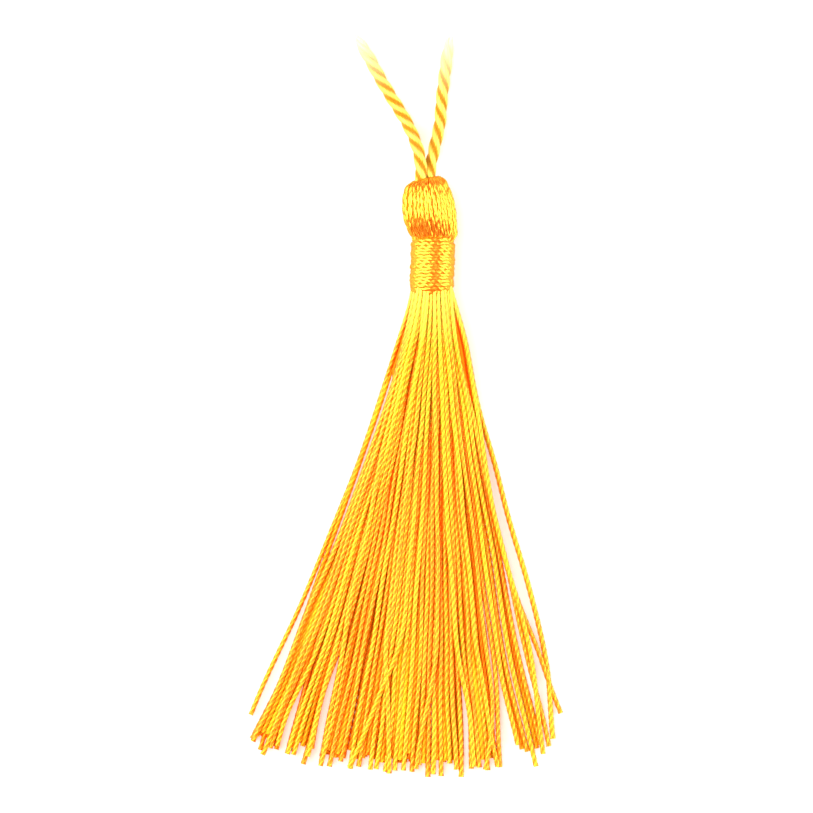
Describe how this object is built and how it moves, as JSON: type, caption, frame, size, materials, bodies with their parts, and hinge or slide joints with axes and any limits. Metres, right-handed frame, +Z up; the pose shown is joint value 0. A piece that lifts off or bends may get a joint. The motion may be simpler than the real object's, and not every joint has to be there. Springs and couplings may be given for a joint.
{
  "type": "tassel",
  "caption": "Golden silky tassel lying flat, with a folded round head, a thread-bound neck, a fanned skirt of twisted threads and a twisted cord to tie it on by.",
  "frame": {"origin": "under the middle of the tassel's head, neck and skirt, on the surface that it rests on", "axes": "+Y along the tassel, from the cut ends of the skirt to the head and the cord; +X to the right, seen from above with the head at the top; +Z up from the surface"},
  "size_m": [0.0422, 0.0996, 0.006],
  "materials": {
    "hank_thread": "silky twisted thread, golden yellow",
    "binding_thread": "fine silky twisted thread, golden yellow",
    "hanging_cord": "silky three-strand cord, golden yellow"
  },
  "bodies": {
    "root": {"thread_hank": "hank_thread", "neck_binding": "binding_thread", "cord_leg_left": "hanging_cord", "cord_leg_right": "hanging_cord"}
  },
  "joints": []
}
